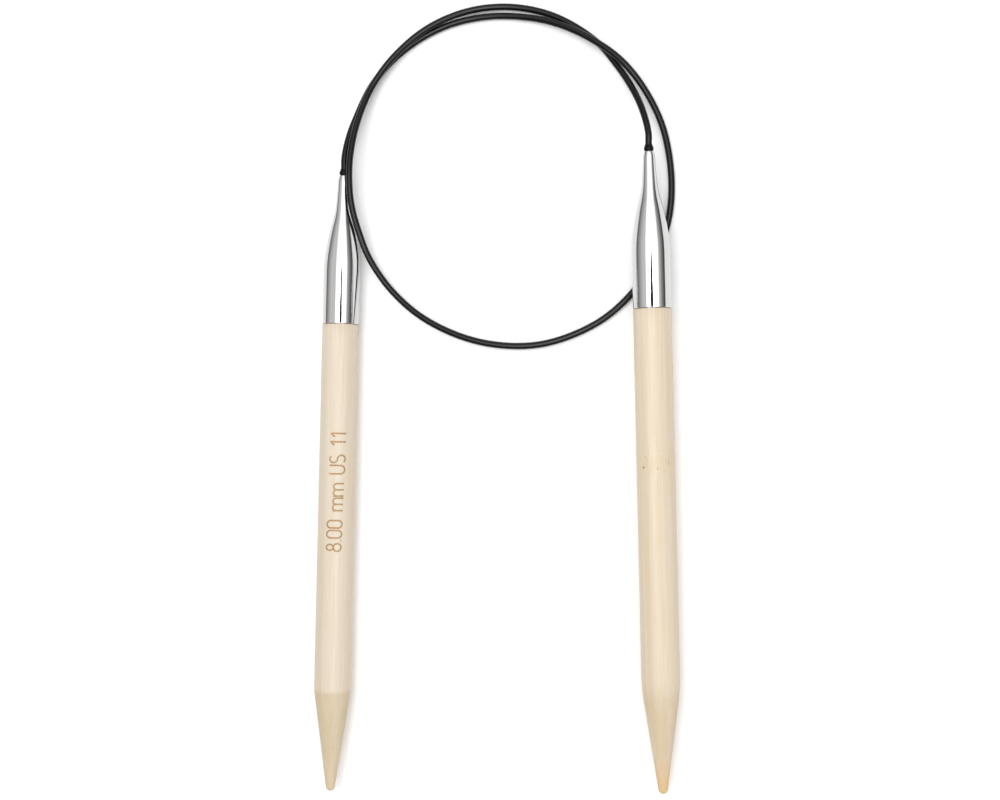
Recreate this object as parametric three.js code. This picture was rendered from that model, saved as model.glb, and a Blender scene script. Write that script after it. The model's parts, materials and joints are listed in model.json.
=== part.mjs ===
// A circular knitting needle: two short bamboo needles joined by one free cord.
//
// Frame: millimetres, +Z up. The needles lie on the plane Z = 0 with their points
// towards -Y, and the cord's loop lies at the +Y end. The origin is the middle of the
// needles' footprint.
//
// "Depth" is the distance along a needle's own axis, from the mouth of its ferrule,
// where the cord comes out, towards its point.

import * as THREE from "three";

// Needle.
const SHAFT_RADIUS = 4;
const FACETS = 36;
const FACET_APOTHEM = SHAFT_RADIUS * Math.cos(Math.PI / FACETS);

// Bamboo tip: a shaft, a cone that ends in a small round nose, and a spigot that is
// glued into the ferrule. The tips are finished by hand, so the two differ a little in
// length and shoulder.
const LEFT_NEEDLE_LENGTH = 134.6;
const RIGHT_NEEDLE_LENGTH = 133.4;
const CONE_LENGTH = 22;
const RIGHT_SHOULDER_EASE = 6;
const SHOULDER_STEPS = 4;
const POINT_RADIUS = 1;
const POINT_STEPS = 4;
const SPIGOT_RADIUS = 3.45;
const SPIGOT_START = 20.5;
const SPIGOT_CHAMFER = 0.3;
const GLUE_LINE = 0.1;

// Ferrule: a thin metal shell with a solid nose.
const FERRULE_LENGTH = 32.9;
const FERRULE_WALL = 0.4;
const NOSE_BORE_RADIUS = 0.98;
const NOSE_SHOULDER = 7;
const SHOULDER_DEPTH = 0.6;
const OGEE_STEPS = 14;
const SOCKET_RADIUS = SHAFT_RADIUS - FERRULE_WALL;

// Cord and the pieces that are fixed to its ends.
const CORD_RADIUS = 0.7;
const CORD_SIDES = 8;
const CORD_STEPS = 80;
const SMALL_SIDES = 20;
const SLEEVE_BORE_RADIUS = 0.78;
const SLEEVE_STEM_RADIUS = 0.91;
const SLEEVE_HEAD_RADIUS = 1.3;
const HEAD_CLEARANCE = 0.08;
const SLEEVE_START = 0.2;
const SLEEVE_END = 8.6;
const HEAD_START = NOSE_SHOULDER + 0.2;
const COLLAR_BORE_RADIUS = 0.78;
const COLLAR_WIDE_RADIUS = 1.02;
const COLLAR_NARROW_RADIUS = 0.86;
const COLLAR_GAP = 0.12;
const COLLAR_LENGTH = 1.45;
const COLLAR_ROUNDING = 0.1;
const COLLAR_FLARE_END = 0.45;

// Where the needles lie. The right ferrule rests on the cord, so that needle is tilted.
const LEFT_MOUTH = new THREE.Vector2(-33.45, 66);
const LEFT_SPLAY = THREE.MathUtils.degToRad(-1.08);
const RIGHT_MOUTH = new THREE.Vector2(33.8, 67.9);
const RIGHT_SPLAY = THREE.MathUtils.degToRad(0.97);
const CROSSING_DEPTH = 22;
const CROSSING_GAP = 0.15;
const RIGHT_CONTACT_DEPTH = RIGHT_NEEDLE_LENGTH - CONE_LENGTH;
const RIGHT_TILT = Math.asin(
  (2 * CORD_RADIUS + CROSSING_GAP) / (RIGHT_CONTACT_DEPTH - CROSSING_DEPTH),
);

// The cord's route between the two ferrules. It goes once and a half round the loop:
// out of the left ferrule over the far side, under the right ferrule, round the near
// side, over the left ferrule's mouth, and beside itself to the right ferrule.
const CORD_ROUTE = [
  [-32.75, 74.0, 3.5],
  [-31.4, 78.8, 2.5],
  [-27.6, 87.4, 1.0],
  [-20.8, 94.2, 0.75],
  [-11.8, 98.9, 0.75],
  [-1.8, 100.6, 0.75],
  [8.3, 99.5, 1.1],
  [15.6, 96.9, 1.9],
  [22.2, 93.1, 2.4],
  [27.9, 88.5, 2.4],
  [32.65, 82.3, 1.6],
  [36.45, 74.0, 0.9],
  [38.15, 63.3, 0.75],
  [37.45, 54.2, 0.75],
  [34.3, 45.7, 0.75],
  [29.0, 38.2, 0.75],
  [21.65, 32.4, 0.75],
  [9.75, 28.3, 0.75],
  [-3.2, 29.0, 0.75],
  [-15.2, 33.9, 0.8],
  [-23.1, 40.5, 1.2],
  [-28.0, 47.7, 2.45],
  [-29.9, 53.3, 4.1],
  [-31.2, 59.1, 5.5],
  [-31.65, 65.2, 5.9],
  [-31.4, 71.5, 5.4],
  [-30.05, 79.1, 4.0],
  [-27.0, 86.8, 2.7],
  [-21.8, 93.3, 2.3],
  [-14.7, 98.6, 2.1],
  [-6.0, 101.9, 1.4],
  [3.3, 102.4, 0.8],
  [12.9, 99.8, 0.75],
  [22.1, 93.7, 0.8],
  [26.9, 87.8, 0.9],
  [30.15, 82.4, 2.2],
  [32.45, 77.0, 4.5],
];

// Where the cord runs straight on a needle's axis, from its end inside the ferrule.
const STRAIGHT_DEPTHS = [8, 5.5, 3, 0.5, -2, -4];

const BAMBOO = { color: 0xecdfcb, roughness: 0.42, metalness: 0 };
const NICKEL = { color: 0xd8d9dc, roughness: 0.12, metalness: 1 };
const STEEL = { color: 0xb9bcc0, roughness: 0.3, metalness: 1 };
const BLACK_NYLON = { color: 0x17171a, roughness: 0.45, metalness: 0 };

// A frame on a needle's axis: +Y points from the mouth towards the needle's point.
function needlePlacement(mouth, height, splay, tilt) {
  const placement = new THREE.Group();
  placement.rotation.set(-tilt, 0, Math.PI + splay, "ZXY");
  placement.position.set(mouth.x, mouth.y, height);
  placement.updateMatrixWorld(true);
  return placement;
}

function makeNamedMesh(name, geometry, finish) {
  const mesh = new THREE.Mesh(geometry, new THREE.MeshStandardMaterial(finish));
  mesh.name = name;
  return mesh;
}

// A solid of revolution about +Y with a flat facet on its underside. The profile is
// a list of [radius, depth] pairs in order along the outside from the low end.
function revolve(profile, sides) {
  const points = profile.map(([radius, depth]) => new THREE.Vector2(radius, depth));
  const geometry = new THREE.LatheGeometry(points, sides);
  return geometry.rotateY(Math.PI / sides);
}

// The rolled lip of the nose, from the mouth outwards.
const NOSE_LIP = [
  [1.05, 0],
  [1.17, 0.25],
  [1.24, 0.65],
];

// The ferrule's outside: a slim neck that opens into an ogee and ends as a cylinder.
const FERRULE_OGEE = new THREE.SplineCurve(
  [
    [1.28, 1.1],
    [1.36, 2.8],
    [1.52, 5.3],
    [1.74, 7.6],
    [2.1, 9.4],
    [2.62, 11.4],
    [3.14, 13.8],
    [3.62, 16.6],
    [3.89, 18.8],
    [SHAFT_RADIUS, 21.2],
  ].map(([radius, depth]) => new THREE.Vector2(radius, depth)),
);

function ferruleOutline() {
  return FERRULE_OGEE.getPoints(OGEE_STEPS).map((p) => [Math.min(p.x, SHAFT_RADIUS), p.y]);
}

// The hollow follows the outside at the wall's thickness, from the shoulder onwards.
function ferruleHollow() {
  return ferruleOutline()
    .filter(([, depth]) => depth > NOSE_SHOULDER + SHOULDER_DEPTH + FERRULE_WALL)
    .map(([radius, depth]) => [radius - FERRULE_WALL, depth]);
}

function makeFerrule(name) {
  const outside = [
    [NOSE_BORE_RADIUS, 0],
    ...NOSE_LIP,
    ...ferruleOutline(),
    [SHAFT_RADIUS, FERRULE_LENGTH],
  ];
  const inside = [
    [SOCKET_RADIUS, FERRULE_LENGTH],
    ...ferruleHollow().reverse(),
    [SLEEVE_HEAD_RADIUS + HEAD_CLEARANCE, NOSE_SHOULDER + SHOULDER_DEPTH],
    [SLEEVE_HEAD_RADIUS + HEAD_CLEARANCE, NOSE_SHOULDER],
    [NOSE_BORE_RADIUS, NOSE_SHOULDER],
    [NOSE_BORE_RADIUS, 0],
  ];
  return makeNamedMesh(name, revolve([...outside, ...inside], FACETS), NICKEL);
}

// The point's rounded end, as an arc from the cone's end to the axis.
function pointArc(coneEnd) {
  const arc = [];
  for (let i = 1; i <= POINT_STEPS; i += 1) {
    const angle = (Math.PI / 2) * (i / POINT_STEPS);
    arc.push([POINT_RADIUS * Math.cos(angle), coneEnd + POINT_RADIUS * Math.sin(angle)]);
  }
  arc[POINT_STEPS - 1][0] = 0;
  return arc;
}

// A cone whose shoulder is eased over shoulderEase millimetres; 0 leaves it crisp.
function coneOutline(needleLength, shoulderEase) {
  const start = needleLength - CONE_LENGTH;
  const end = needleLength - POINT_RADIUS;
  const slope = (SHAFT_RADIUS - POINT_RADIUS) / (end - start);
  const outline = [];
  if (shoulderEase === 0) {
    outline.push([SHAFT_RADIUS, start]);
  } else {
    for (let i = 0; i <= SHOULDER_STEPS; i += 1) {
      const t = i / SHOULDER_STEPS;
      const drop = (slope * shoulderEase * t * t) / 2;
      outline.push([SHAFT_RADIUS - drop, start + shoulderEase * (t - 0.5)]);
    }
  }
  outline.push([POINT_RADIUS, end]);
  return outline;
}

function makeBambooTip(name, needleLength, shoulderEase) {
  const profile = [
    [0, SPIGOT_START],
    [SPIGOT_RADIUS - SPIGOT_CHAMFER, SPIGOT_START],
    [SPIGOT_RADIUS, SPIGOT_START + SPIGOT_CHAMFER],
    [SPIGOT_RADIUS, FERRULE_LENGTH + GLUE_LINE],
    [SHAFT_RADIUS, FERRULE_LENGTH + GLUE_LINE],
    ...coneOutline(needleLength, shoulderEase),
    ...pointArc(needleLength - POINT_RADIUS),
  ];
  return makeNamedMesh(name, revolve(profile, FACETS), BAMBOO);
}

// The crimped sleeve on the cord's end. Its head turns behind the ferrule's shoulder.
function makeSleeve(name) {
  const profile = [
    [SLEEVE_BORE_RADIUS, SLEEVE_START],
    [SLEEVE_STEM_RADIUS, SLEEVE_START],
    [SLEEVE_STEM_RADIUS, HEAD_START],
    [SLEEVE_HEAD_RADIUS, HEAD_START],
    [SLEEVE_HEAD_RADIUS, SLEEVE_END],
    [SLEEVE_BORE_RADIUS, SLEEVE_END],
    [SLEEVE_BORE_RADIUS, SLEEVE_START],
  ];
  return makeNamedMesh(name, revolve(profile, SMALL_SIDES), STEEL);
}

// The flared collar on the cord, just outside the ferrule's mouth.
function makeCollar(name) {
  const near = -COLLAR_GAP;
  const far = near - COLLAR_LENGTH;
  const profile = [
    [COLLAR_BORE_RADIUS, far],
    [COLLAR_NARROW_RADIUS, far],
    [COLLAR_WIDE_RADIUS, near - COLLAR_FLARE_END],
    [COLLAR_WIDE_RADIUS, near - COLLAR_ROUNDING],
    [COLLAR_WIDE_RADIUS - COLLAR_ROUNDING, near],
    [COLLAR_BORE_RADIUS, near],
    [COLLAR_BORE_RADIUS, far],
  ];
  return makeNamedMesh(name, revolve(profile, SMALL_SIDES), BLACK_NYLON);
}

// Points on a needle's axis at the depths where the cord runs straight.
function axisPoints(placement, depths) {
  return depths.map((depth) => placement.localToWorld(new THREE.Vector3(0, depth, 0)));
}

function makeCord(name, left, right) {
  const route = [
    ...axisPoints(left, STRAIGHT_DEPTHS),
    ...CORD_ROUTE.map(([x, y, z]) => new THREE.Vector3(x, y, z)),
    ...axisPoints(right, [...STRAIGHT_DEPTHS].reverse()),
  ];
  const section = new THREE.Shape();
  for (let i = 0; i < CORD_SIDES; i += 1) {
    const angle = (2 * Math.PI * i) / CORD_SIDES;
    const x = CORD_RADIUS * Math.cos(angle);
    const y = CORD_RADIUS * Math.sin(angle);
    if (i === 0) section.moveTo(x, y);
    else section.lineTo(x, y);
  }
  section.closePath();
  const geometry = new THREE.ExtrudeGeometry(section, {
    steps: CORD_STEPS,
    extrudePath: new THREE.CatmullRomCurve3(route),
  });
  return makeNamedMesh(name, geometry, BLACK_NYLON);
}

// One end of the object: a needle and the cord's end pieces on the needle's axis.
function makeEnd(side, placement, needleLength, shoulderEase) {
  placement.add(
    makeBambooTip(`${side}_bamboo_tip`, needleLength, shoulderEase),
    makeFerrule(`${side}_ferrule`),
    makeSleeve(`${side}_cord_end_sleeve`),
    makeCollar(`${side}_cord_collar`),
  );
  return placement;
}

const rightMouthHeight = FACET_APOTHEM + RIGHT_CONTACT_DEPTH * Math.sin(RIGHT_TILT);
const leftPlacement = needlePlacement(LEFT_MOUTH, FACET_APOTHEM, LEFT_SPLAY, 0);
const rightPlacement = needlePlacement(
  RIGHT_MOUTH,
  rightMouthHeight,
  RIGHT_SPLAY,
  RIGHT_TILT,
);

const circularNeedle = new THREE.Group();
circularNeedle.name = "circular_knitting_needle";
circularNeedle.add(
  makeEnd("left", leftPlacement, LEFT_NEEDLE_LENGTH, 0),
  makeEnd("right", rightPlacement, RIGHT_NEEDLE_LENGTH, RIGHT_SHOULDER_EASE),
  makeCord("cord", leftPlacement, rightPlacement),
);

export default circularNeedle;
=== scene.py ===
"""A circular knitting needle: two bamboo needles in polished ferrules, joined by one black cord.

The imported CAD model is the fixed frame. Everything is placed from its joints and nodes, in metres,
and each piece rides on the CAD body that it belongs to. Outlines are written in millimetres along a
needle's own axis, where depth is counted from the ferrule's mouth towards the needle's point.
"""

import json
import logging
import math
from collections.abc import Sequence
from dataclasses import dataclass, field
from enum import Enum

import bmesh
import bpy
from mathutils import Matrix, Vector


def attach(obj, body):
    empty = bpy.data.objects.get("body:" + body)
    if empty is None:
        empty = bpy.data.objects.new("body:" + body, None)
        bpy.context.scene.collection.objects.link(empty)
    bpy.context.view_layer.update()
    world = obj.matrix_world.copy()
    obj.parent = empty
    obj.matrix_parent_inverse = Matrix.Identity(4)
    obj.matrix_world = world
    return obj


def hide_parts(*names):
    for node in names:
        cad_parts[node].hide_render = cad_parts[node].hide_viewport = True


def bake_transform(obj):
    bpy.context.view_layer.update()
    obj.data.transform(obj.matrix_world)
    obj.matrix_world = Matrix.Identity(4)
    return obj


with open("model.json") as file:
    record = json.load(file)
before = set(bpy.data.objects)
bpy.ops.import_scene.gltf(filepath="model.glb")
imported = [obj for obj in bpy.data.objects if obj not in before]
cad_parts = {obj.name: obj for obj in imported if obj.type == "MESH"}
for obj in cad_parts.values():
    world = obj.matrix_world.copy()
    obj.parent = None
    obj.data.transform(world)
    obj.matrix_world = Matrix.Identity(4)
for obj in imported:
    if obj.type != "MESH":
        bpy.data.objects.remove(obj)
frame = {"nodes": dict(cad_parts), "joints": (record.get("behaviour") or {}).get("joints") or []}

LOG = logging.getLogger("circular_needle")
MM = 0.001
MERGE_MM = 1e-4
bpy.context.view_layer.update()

Pair = tuple[float, float]
Triple = tuple[float, float, float]
Outline = list[Pair]
BMesh = bmesh.types.BMesh
BMVert = bmesh.types.BMVert
Material = bpy.types.Material
Node = bpy.types.Node
NodeTree = bpy.types.NodeTree
Piece = bpy.types.Object
Socket = bpy.types.NodeSocket
Sockets = bpy.types.bpy_prop_collection


class Side(Enum):
    """Which of the two needles a piece belongs to."""

    LEFT = "left"
    RIGHT = "right"


class Shoulder(Enum):
    """How the shaft turns into the cone."""

    CRISP = "crisp"
    EASED = "eased"


# ------------------------------------------------------------------------------------------------
# Places and mesh helpers
# ------------------------------------------------------------------------------------------------


@dataclass(frozen=True)
class NeedleAxis:
    """A needle's own axis, read from the CAD joint that it swivels on."""

    mouth: Vector
    along: Vector

    @classmethod
    def of(cls, side: Side) -> "NeedleAxis":
        """Find the axis of one needle.

        Args:
            side: The needle.

        Returns:
            The axis, from the ferrule's mouth towards the point.
        """
        joint = next(j for j in frame["joints"] if j["name"] == f"{side.value}_swivel")
        return cls(Vector(joint["pos_m"]), Vector(joint["axis"]).normalized())

    def placement(self) -> Matrix:
        """Give the way from the local axis to the row frame.

        Returns:
            The matrix from millimetres, with +Z along the axis and +Y up, to metres in the frame.
        """
        across = Vector((0.0, 0.0, 1.0)).cross(self.along).normalized()
        upward = self.along.cross(across)
        turn = Matrix((across, upward, self.along)).transposed().to_4x4()
        return Matrix.Translation(self.mouth) @ turn @ Matrix.Scale(MM, 4)

    def point(self, depth: float) -> Vector:
        """The point on the axis at a depth in millimetres, in metres."""
        return self.mouth + self.along * depth * MM


def link_mesh(name: str, bm: BMesh, material: Material) -> Piece:
    """Turn a finished bmesh into a smooth-shaded object at the origin.

    Args:
        name: The piece's name.
        bm: The mesh, already in place in the row frame. It is freed.
        material: The finish of the whole piece.

    Returns:
        The new object.
    """
    mesh = bpy.data.meshes.new(name)
    bm.to_mesh(mesh)
    bm.free()
    mesh.shade_smooth()
    mesh.materials.append(material)
    piece = bpy.data.objects.new(name, mesh)
    bpy.context.scene.collection.objects.link(piece)
    return piece


def lathe(outline: Outline, segments: int, closed: bool) -> BMesh:
    """Spin an outline of (radius, depth) points round the axis.

    Args:
        outline: The points, in millimetres.
        segments: How many steps the spin takes.
        closed: Whether the outline's last point joins its first, as a ring's does.

    Returns:
        A closed mesh on the local axis, facing outwards.
    """
    bm = bmesh.new()
    verts = [bm.verts.new((radius, 0.0, depth)) for radius, depth in outline]
    pairs = list(zip(verts, verts[1:]))
    if closed:
        pairs.append((verts[-1], verts[0]))
    edges = [bm.edges.new(pair) for pair in pairs]
    bmesh.ops.spin(
        bm,
        geom=verts + edges,
        cent=(0.0, 0.0, 0.0),
        axis=(0.0, 0.0, 1.0),
        angle=math.tau,
        steps=segments,
        use_merge=True,
    )
    bmesh.ops.remove_doubles(bm, verts=bm.verts, dist=MERGE_MM)
    bmesh.ops.recalc_face_normals(bm, faces=bm.faces)
    return bm


def fillet(corner: Pair, before: Pair, after: Pair, size: float, steps: int = 4) -> Outline:
    """Round one corner of an outline with a quadratic curve.

    Args:
        corner: The sharp corner.
        before: The outline's point before it.
        after: The outline's point after it.
        size: How far from the corner the rounding starts and ends.
        steps: How many segments the rounding has.

    Returns:
        The points that take the corner's place.
    """
    middle = Vector(corner)
    start = middle + (Vector(before) - middle).normalized() * size
    end = middle + (Vector(after) - middle).normalized() * size
    points = []
    for i in range(steps + 1):
        t = i / steps
        p = start * (1 - t) ** 2 + middle * (2 * t * (1 - t)) + end * t**2
        points.append((p.x, p.y))
    return points


def soften(outline: Outline, sizes: dict[int, float]) -> Outline:
    """Round the named corners of an outline.

    Args:
        outline: The outline with sharp corners.
        sizes: The rounding's size at each corner's index.

    Returns:
        The outline with those corners rounded.
    """
    result: Outline = []
    count = len(outline)
    for i, corner in enumerate(outline):
        if i in sizes:
            result += fillet(corner, outline[i - 1], outline[(i + 1) % count], sizes[i])
        else:
            result.append(corner)
    return result


def catmull_rom(points: Sequence[Vector], per_span: int) -> list[Vector]:
    """Run a smooth line through points, as a centripetal Catmull-Rom curve.

    Args:
        points: The points that the line goes through.
        per_span: How many steps the line takes between two points.

    Returns:
        The line's points, ends included.
    """
    padded = [points[0] * 2 - points[1], *points, points[-1] * 2 - points[-2]]
    line = []
    for p0, p1, p2, p3 in zip(padded, padded[1:], padded[2:], padded[3:]):
        t1 = (p1 - p0).length ** 0.5
        t2 = t1 + (p2 - p1).length ** 0.5
        t3 = t2 + (p3 - p2).length ** 0.5
        for i in range(per_span):
            t = t1 + (t2 - t1) * i / per_span
            a1 = p0.lerp(p1, t / t1)
            a2 = p1.lerp(p2, (t - t1) / (t2 - t1))
            a3 = p2.lerp(p3, (t - t2) / (t3 - t2))
            b1 = a1.lerp(a2, t / t2)
            b2 = a2.lerp(a3, (t - t1) / (t3 - t1))
            line.append(b1.lerp(b2, (t - t1) / (t2 - t1)))
    line.append(points[-1].copy())
    return line


# ------------------------------------------------------------------------------------------------
# Shader helpers and shared effects
# ------------------------------------------------------------------------------------------------


@dataclass
class Shader:
    """A thin layer over a node tree, so that a finish reads as a recipe."""

    tree: NodeTree

    def add(self, kind: str, **settings: object) -> Node:
        """Add a node.

        Args:
            kind: The node's type.
            settings: Its properties.

        Returns:
            The node.
        """
        node = self.tree.nodes.new(kind)
        for name, value in settings.items():
            setattr(node, name, value)
        return node

    def feed(self, socket: Socket, value: object) -> None:
        """Link a socket to another, or set its value.

        Args:
            socket: The input to feed.
            value: An output to link, or a plain value.
        """
        if isinstance(value, Socket):
            self.tree.links.new(value, socket)
        else:
            socket.default_value = value

    def fill(self, node: Node, *values: object, **named: object) -> Node:
        """Feed several inputs of a node.

        Args:
            node: The node.
            values: What feeds its first inputs, in order.
            named: What feeds its other inputs, by name, with _ for a space.

        Returns:
            The same node.
        """
        for socket, value in zip(node.inputs, values):
            self.feed(socket, value)
        for name, value in named.items():
            self.feed(node.inputs[name.replace("_", " ")], value)
        return node

    def maths(self, operation: str, *values: object, clamp: bool = False) -> Socket:
        """Work on numbers: the Math node's result."""
        node = self.add("ShaderNodeMath", operation=operation, use_clamp=clamp)
        return self.fill(node, *values).outputs[0]

    def times(self, first: object, second: object) -> Socket:
        """The product of two numbers."""
        return self.maths("MULTIPLY", first, second)

    def times_plus(self, first: object, second: object, third: object) -> Socket:
        """The product of two numbers, with a third added to it."""
        return self.maths("MULTIPLY_ADD", first, second, third)

    def away(self, value: object, centre: object) -> Socket:
        """How far a number is from a centre, on either side."""
        return self.maths("ABSOLUTE", self.maths("SUBTRACT", value, centre))

    def vector(self, operation: str, *values: object) -> Socket:
        """Work on vectors: the Vector Math node's vector result."""
        node = self.add("ShaderNodeVectorMath", operation=operation)
        return self.fill(node, *values).outputs[0]

    def scaled(self, vector: object, factor: object) -> Socket:
        """A vector times a number."""
        node = self.add("ShaderNodeVectorMath", operation="SCALE")
        return self.fill(node, vector, Scale=factor).outputs[0]

    def distance(self, place: Socket, centre: Triple) -> Socket:
        """How far a place is from a centre."""
        node = self.add("ShaderNodeVectorMath", operation="DISTANCE")
        return self.fill(node, place, centre).outputs["Value"]

    def split(self, vector: Socket) -> Sockets:
        """The three numbers of a vector."""
        return self.fill(self.add("ShaderNodeSeparateXYZ"), vector).outputs

    def join(self, *parts: object) -> Socket:
        """A vector of up to three numbers."""
        return self.fill(self.add("ShaderNodeCombineXYZ"), *parts).outputs[0]

    def span(self, value: object, low: float, high: float, to_low: float = 0.0,
             to_high: float = 1.0) -> Socket:
        """Map a value from one span to another with smooth ends.

        Args:
            value: The socket to map.
            low: Where the span starts.
            high: Where it ends.
            to_low: The result at and below low.
            to_high: The result at and above high.

        Returns:
            The mapped value.
        """
        node = self.add("ShaderNodeMapRange", interpolation_type="SMOOTHSTEP")
        return self.fill(node, value, low, high, to_low, to_high).outputs[0]

    def blend(self, share: object, first: object, second: object, how: str = "MIX") -> Socket:
        """Mix two colours.

        Args:
            share: How much of the second colour shows.
            first: The first colour, as a socket or three numbers.
            second: The second colour, likewise.
            how: The blend type.

        Returns:
            The mixed colour.
        """
        node = self.add("ShaderNodeMix", data_type="RGBA", blend_type=how)
        self.feed(node.inputs[0], share)
        for socket, colour in ((node.inputs[6], first), (node.inputs[7], second)):
            self.feed(socket, colour if isinstance(colour, Socket) else (*colour, 1.0))
        return node.outputs[2]

    def noise(self, place: Socket, scale: float, detail: float = 2.0, rough: float = 0.5,
              output: int = 0) -> Socket:
        """Add a noise texture.

        Args:
            place: Where it is read.
            scale: Its scale.
            detail: How many finer layers it has.
            rough: How strong the finer layers are.
            output: The output to read, 0 for its value or 1 for its colour.

        Returns:
            The output.
        """
        node = self.add("ShaderNodeTexNoise")
        self.fill(node, Vector=place, Scale=scale, Detail=detail, Roughness=rough)
        return node.outputs[output]

    def grain(self, place: Socket, stretch: Triple, detail: float = 2.0,
              rough: float = 0.5) -> Socket:
        """A noise with its own scale on each axis."""
        return self.noise(self.vector("MULTIPLY", place, stretch), 1.0, detail, rough)

    def group(self, shared: NodeTree, place: Socket, control: float) -> Sockets:
        """The outputs of a shared group that is placed here."""
        return self.fill(self.add("ShaderNodeGroup", node_tree=shared), place, control).outputs


@dataclass
class SharedEffects:
    """The node groups that more than one finish uses.

    A stretch is a noise's scale per millimetre, across the needle twice and then along it.
    """

    sway_stretch: Triple = (0.02, 0.02, 0.04)
    sway_reach: float = 1.6
    fibre_stretch: Triple = (5.5, 5.5, 0.05)
    band_stretch: Triple = (0.55, 0.55, 0.008)
    bundle_stretch: Triple = (3.2, 3.2, 0.028)
    band_span: Pair = (0.35, 0.65)
    bundle_span: Pair = (0.62, 0.74)
    cloud_scale: float = 0.35
    cloud_span: Pair = (0.48, 0.72)
    speck_scale: float = 1.1
    speck_size: Pair = (0.035, 0.075)
    lint_scale: float = 0.8
    lint_limit: float = 0.6
    fibre: NodeTree = field(init=False)
    handling: NodeTree = field(init=False)

    def __post_init__(self) -> None:
        """Build each group once."""
        self.fibre = self.build_fibre()
        self.handling = self.build_handling()

    @staticmethod
    def open_group(name: str, control: str,
                   outputs: Sequence[str]) -> tuple[Shader, Socket, Socket, Node]:
        """Start a node group that takes a place in millimetres and one number.

        Args:
            name: The group's name.
            control: The number's name. It is 1 unless it is set.
            outputs: The names of the numbers that the group gives.

        Returns:
            The shader layer, the place, the number, and the group's output node.
        """
        tree = bpy.data.node_groups.new(name, "ShaderNodeTree")
        tree.interface.new_socket("Place", in_out="INPUT", socket_type="NodeSocketVector")
        number = tree.interface.new_socket(control, in_out="INPUT", socket_type="NodeSocketFloat")
        number.default_value = 1.0
        for label in outputs:
            tree.interface.new_socket(label, in_out="OUTPUT", socket_type="NodeSocketFloat")
        shader = Shader(tree)
        given = shader.add("NodeGroupInput").outputs
        return shader, given[0], given[1], shader.add("NodeGroupOutput")

    def build_fibre(self) -> NodeTree:
        """Make bamboo's lengthwise fibres.

        Returns:
            A group that takes a place with +Z along the fibres, and gives the fine fibres, the
            broad bands of the culm's wall, and the few dark bundles that reach the surface.
        """
        shader, place, fineness, result = self.open_group(
            "bamboo_fibre", "Fineness", ("Fibre", "Band", "Bundle"))
        sway = shader.times(shader.grain(place, self.sway_stretch), self.sway_reach)
        sized = shader.scaled(shader.vector("ADD", place, shader.join(sway)), fineness)
        bands = shader.grain(sized, self.band_stretch)
        bundles = shader.grain(sized, self.bundle_stretch, 1.0)
        shader.fill(result, shader.grain(sized, self.fibre_stretch, 3.0, 0.6),
                    shader.span(bands, *self.band_span), shader.span(bundles, *self.bundle_span))
        return shader.tree

    def build_handling(self) -> NodeTree:
        """Make the signs of handling: faint smudges and specks of lint.

        Returns:
            A group that takes a place, and gives a soft smudge mask and a speck mask.
        """
        shader, place, amount, result = self.open_group(
            "signs_of_handling", "Amount", ("Smudge", "Speck"))
        cloudy = shader.span(shader.noise(place, self.cloud_scale, 3.0), *self.cloud_span)
        cells = shader.fill(shader.add("ShaderNodeTexVoronoi", feature="F1"),
                            Vector=place, Scale=self.speck_scale)
        near = shader.span(cells.outputs["Distance"], *self.speck_size, 1.0, 0.0)
        lint = shader.noise(place, self.lint_scale, 0.0)
        rare = shader.maths("GREATER_THAN", lint, self.lint_limit)
        shader.fill(result, shader.times(cloudy, amount),
                    shader.times(shader.times(near, rare), amount))
        return shader.tree


# ------------------------------------------------------------------------------------------------
# Finishes
# ------------------------------------------------------------------------------------------------


class Finish:
    """What every finish shares: a Principled material and a way to place patterns."""

    @staticmethod
    def start(name: str) -> tuple[Material, Shader, Node]:
        """Make an empty material.

        Args:
            name: The material's name.

        Returns:
            The material, its shader layer, and its Principled node.
        """
        material = bpy.data.materials.new(name)
        material.use_nodes = True
        tree = material.node_tree
        return material, Shader(tree), tree.nodes["Principled BSDF"]

    @classmethod
    def start_on(cls, name: str, axis: NeedleAxis) -> tuple[Material, Shader, Node, Socket]:
        """Make an empty material whose patterns lie on one needle.

        Args:
            name: The material's name.
            axis: The needle's axis.

        Returns:
            The material, its shader layer, its Principled node, and Object coordinates turned to
            the axis, in millimetres.
        """
        material, shader, principled = cls.start(name)
        placement = axis.placement()
        mapping = shader.fill(
            shader.add("ShaderNodeMapping", vector_type="TEXTURE"),
            shader.add("ShaderNodeTexCoord").outputs["Object"],
            Location=placement.to_translation(),
            Rotation=placement.to_euler("XYZ"),
            Scale=(MM, MM, MM),
        )
        return material, shader, principled, mapping.outputs[0]

    @staticmethod
    def bump(shader: Shader, principled: Node, height: Socket, depth: float,
             strength: float) -> None:
        """Send a height to the Principled node's normal.

        Args:
            shader: The material's shader layer.
            principled: The node to feed.
            height: The height's socket.
            depth: The height's size in millimetres.
            strength: How much of it shows.
        """
        node = shader.fill(shader.add("ShaderNodeBump"), Strength=strength, Distance=depth * MM,
                           Height=height)
        shader.fill(principled, Normal=node.outputs[0])


@dataclass(frozen=True)
class Blemish:
    """A small natural mark in the bamboo: its place, its half sizes and how dark it is."""

    depth: float
    angle: float
    width: float
    length: float
    strength: float


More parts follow.
